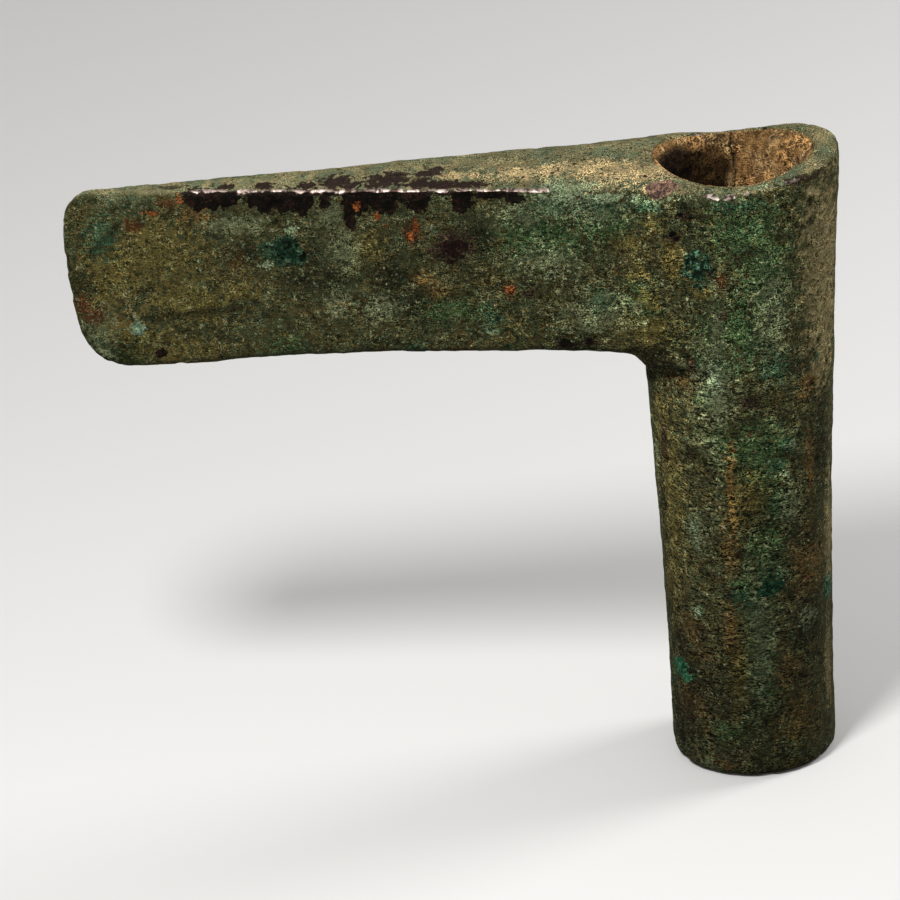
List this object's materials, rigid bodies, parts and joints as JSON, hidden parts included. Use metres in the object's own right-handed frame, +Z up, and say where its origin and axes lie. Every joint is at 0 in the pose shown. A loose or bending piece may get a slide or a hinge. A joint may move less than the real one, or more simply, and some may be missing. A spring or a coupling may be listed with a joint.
{
  "type": "shaft-hole axe head",
  "caption": "Cast bronze axe head: a thin wedge blade set square to a long tubular socket that is open at both ends for a wooden haft.",
  "frame": {"origin": "on the socket's axis at its foot, the lower end of the bore", "axes": "+Z up the socket's axis towards its mouth, -X towards the cutting edge, y = 0 the casting's middle plane"},
  "size_m": [0.1253, 0.0287, 0.1078],
  "materials": {
    "bronze_patina": "cast bronze under a mottled olive, green and brown burial patina",
    "burial_earth": "dry, rough tan-orange burial earth",
    "green_corrosion": "matt, grainy green to teal copper corrosion",
    "cuprite": "dark purple-brown copper oxide with a dull sheen"
  },
  "bodies": {
    "root": {"axe_casting": "bronze_patina", "socket_earth": "burial_earth", "teal_crust_blade": "green_corrosion", "cuprite_crust_blade": "cuprite", "mint_crust_edge": "green_corrosion", "pit_crust_head": "green_corrosion", "malachite_flake_socket": "green_corrosion", "green_crust_socket": "green_corrosion", "teal_crust_back": "green_corrosion", "cuprite_blister_rim": "cuprite"}
  },
  "joints": []
}
